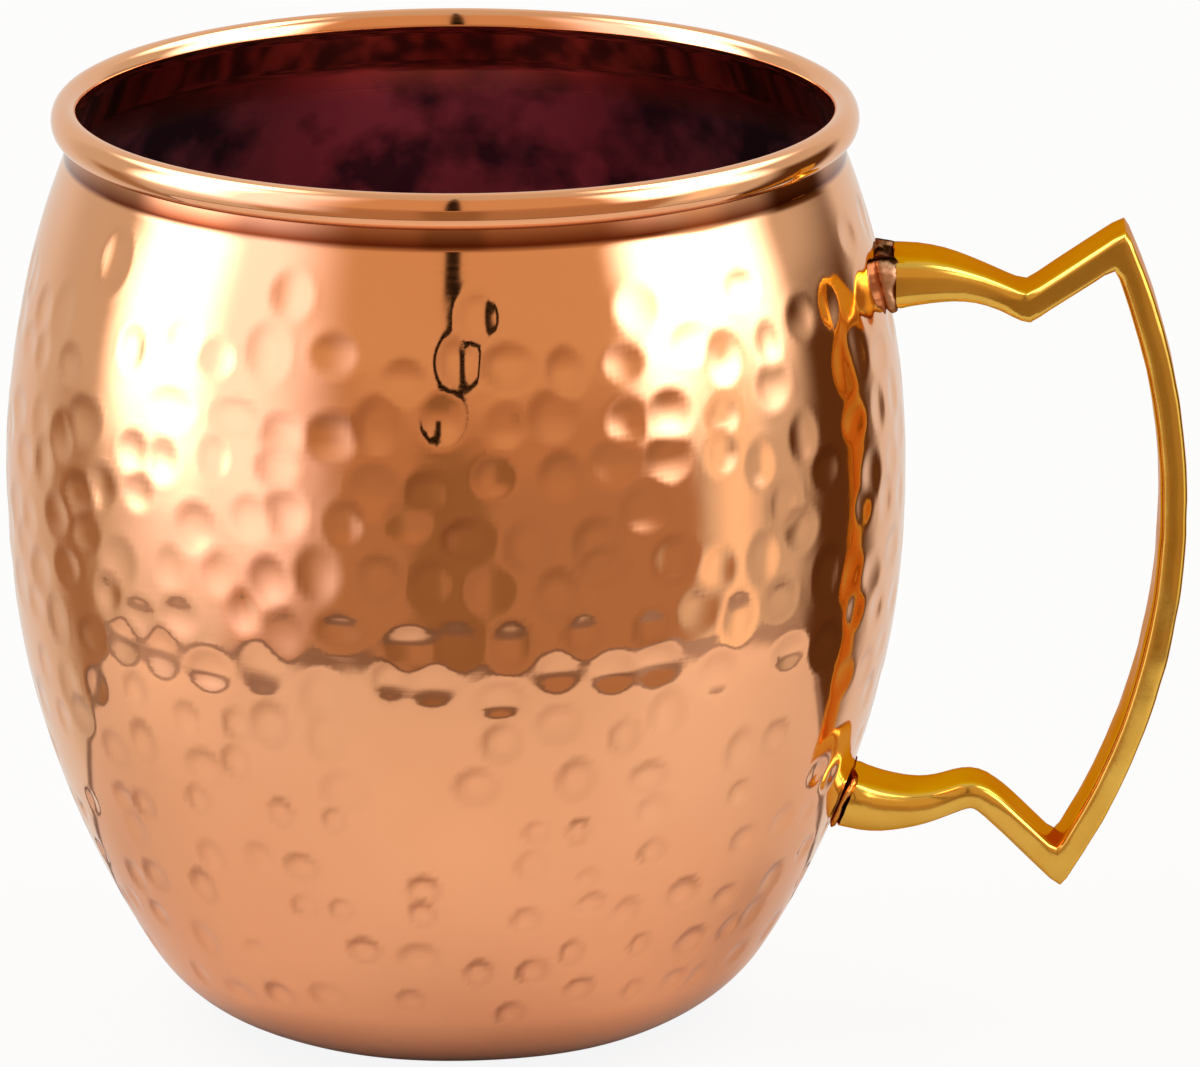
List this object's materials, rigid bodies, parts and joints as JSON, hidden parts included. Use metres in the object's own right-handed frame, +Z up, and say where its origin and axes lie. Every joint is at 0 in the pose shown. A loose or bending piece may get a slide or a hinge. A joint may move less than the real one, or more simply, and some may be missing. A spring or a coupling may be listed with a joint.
{
  "type": "mug",
  "caption": "Hammered copper mug with a rolled rim and an angular cast brass handle, barrel-shaped, for cold drinks.",
  "frame": {"origin": "centre of the flat base, on the cup's axis", "axes": "+Z up the cup's axis, +X from the axis towards the handle, +Y completes a right-handed frame"},
  "size_m": [0.1236, 0.0942, 0.0984],
  "materials": {
    "copper": "polished",
    "cast_brass": "satin",
    "braze": "matte"
  },
  "bodies": {
    "root": {"cup_shell": "copper", "handle": "cast_brass", "upper_braze": "braze", "lower_braze": "braze"}
  },
  "joints": []
}
